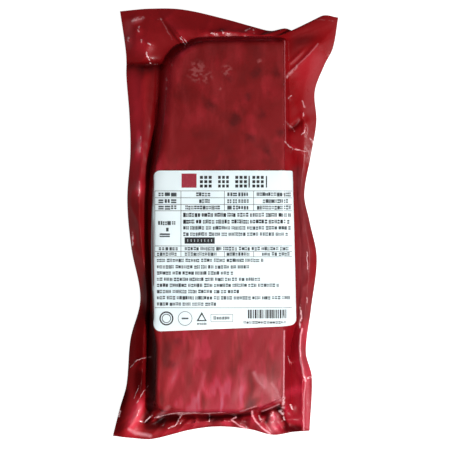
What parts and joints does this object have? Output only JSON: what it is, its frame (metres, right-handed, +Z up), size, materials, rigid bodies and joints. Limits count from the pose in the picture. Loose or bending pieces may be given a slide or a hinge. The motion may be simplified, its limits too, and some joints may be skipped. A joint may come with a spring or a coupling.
{
  "type": "bacon pack",
  "caption": "Whole slab of bacon vacuum sealed in a red film pouch with crumpled sealed edges all round and a paper label across its upper face.",
  "frame": {"origin": "under the middle of the pouch's bounding box, on the surface it lies on", "axes": "+X across the pouch towards the label's right edge, +Y along the pouch towards the end with the raised flaps, +Z up from its underside to the labelled face"},
  "size_m": [0.1486, 0.2842, 0.0271],
  "materials": {
    "film": "glossy see-through red film drawn tight over dark cured meat",
    "label_paper": "smooth white label paper, satin, with plain black and red print"
  },
  "bodies": {
    "root": {"pouch": "film", "label": "label_paper"}
  },
  "joints": []
}
